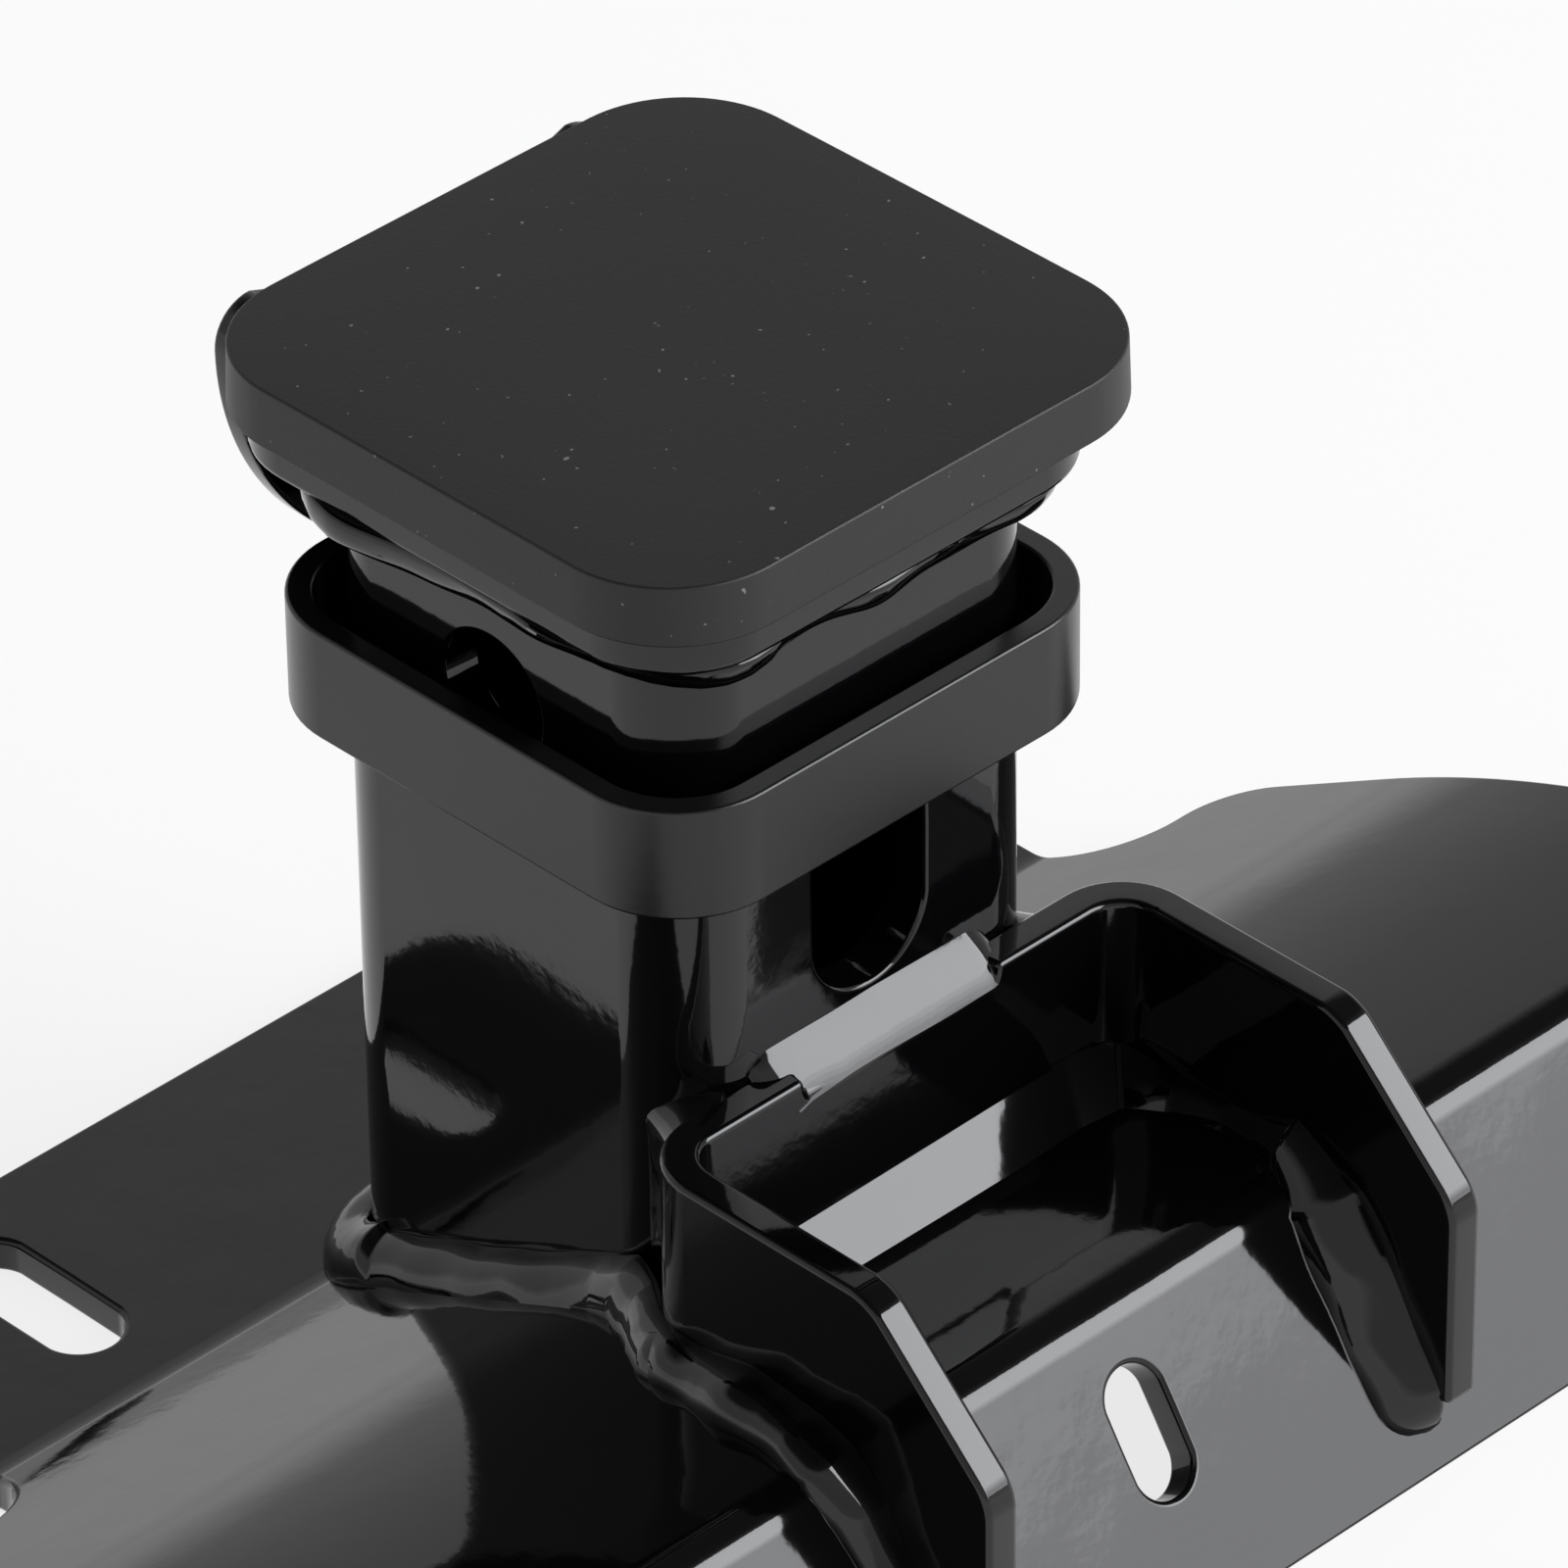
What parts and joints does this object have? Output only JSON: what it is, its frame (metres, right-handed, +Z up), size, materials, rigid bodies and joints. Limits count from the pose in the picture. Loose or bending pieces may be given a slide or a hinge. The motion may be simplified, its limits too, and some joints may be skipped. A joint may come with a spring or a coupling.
{
  "type": "trailer hitch receiver",
  "caption": "Upright square hitch receiver tube welded to a formed body plate with bolt slots, with a chain bracket, a sliding band and a pull-off rubber end cap.",
  "frame": {"origin": "midway between the two flange slots, on the flange's underside, which is the plane that the part stands on", "axes": "+X along the body plate, -Y towards the chain bracket, +Z up the receiver tube towards its mouth"},
  "size_m": [0.26, 0.1672, 0.1426],
  "materials": {
    "powder_coated_steel": "high gloss black powder coat",
    "coated_weld": "weld bead under the same gloss black coat",
    "band_rubber": "satin black moulded rubber",
    "cap_rubber": "matte black moulded rubber, fine grained"
  },
  "bodies": {
    "receiver": {"body_plate": "powder_coated_steel", "receiver_tube": "powder_coated_steel", "mouth_collar": "powder_coated_steel", "mouth_collar_weld": "coated_weld", "rear_tab": "powder_coated_steel", "rear_tab_weld": "coated_weld", "chain_bracket": "powder_coated_steel", "tube_foot_weld": "coated_weld", "bracket_top_weld": "coated_weld", "corner_weld_left": "coated_weld", "corner_weld_right": "coated_weld", "ear_weld_left": "coated_weld", "ear_weld_right": "coated_weld", "bracket_inner_weld": "coated_weld"},
    "cap": {"end_cap": "cap_rubber"},
    "band": {"sliding_band": "band_rubber"}
  },
  "joints": [
    {"name": "cap_pull", "type": "slide", "parent": "receiver", "child": "cap", "axis": [0, 0, 1], "range_m": [0, 0.06]},
    {"name": "band_slide", "type": "slide", "parent": "receiver", "child": "band", "axis": [0, 0, 1], "range_m": [-0.024, 0]}
  ]
}
